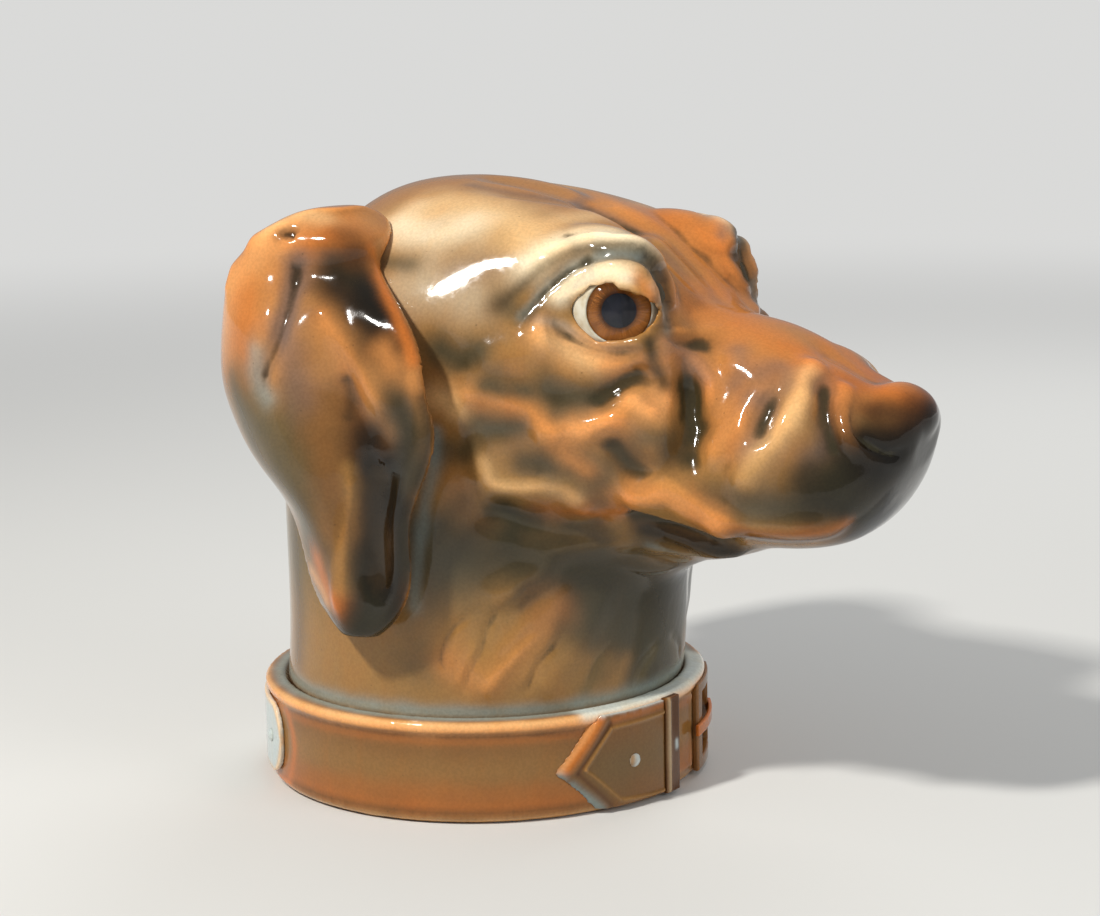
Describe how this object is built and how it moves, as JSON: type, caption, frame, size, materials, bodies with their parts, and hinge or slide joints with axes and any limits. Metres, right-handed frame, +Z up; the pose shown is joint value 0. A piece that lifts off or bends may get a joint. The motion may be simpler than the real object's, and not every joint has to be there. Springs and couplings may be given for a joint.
{
  "type": "tobacco jar",
  "caption": "Glazed pottery tobacco jar: a hollow hound's head with hanging ears and set glass eyes lifts off a low round pot modelled as a strap collar.",
  "frame": {"origin": "centre of the foot, on the surface the jar stands on", "axes": "+X the way the dog looks, +Y to the dog's left, +Z up"},
  "size_m": [0.1714, 0.1294, 0.1436],
  "materials": {
    "head_glaze": "gloss",
    "ear_glaze": "gloss",
    "collar_glaze": "gloss",
    "pale_glaze": "gloss",
    "opal_glass": "polished",
    "amber_glass": "polished",
    "dark_glass": "polished",
    "clear_glass": "polished",
    "plaster": "matte"
  },
  "bodies": {
    "base": {"collar_base": "collar_glaze", "strap_tip": "collar_glaze", "strap_keeper": "collar_glaze", "buckle_frame": "collar_glaze", "buckle_tongue": "collar_glaze", "strap_stud": "pale_glaze", "name_plate": "pale_glaze", "plate_rivets": "pale_glaze"},
    "cover": {"head_cover": "head_glaze", "right_ear": "ear_glaze", "left_ear": "ear_glaze", "right_eye_white": "opal_glass", "right_eye_iris": "amber_glass", "right_eye_pupil": "dark_glass", "right_eye_lens": "clear_glass", "right_eye_plaster": "plaster", "left_eye_white": "opal_glass", "left_eye_iris": "amber_glass", "left_eye_pupil": "dark_glass", "left_eye_lens": "clear_glass", "left_eye_plaster": "plaster"}
  },
  "joints": [
    {"name": "cover_lift", "type": "slide", "parent": "base", "child": "cover", "axis": [0, 0, 1], "range_m": [0, 0.08]}
  ]
}
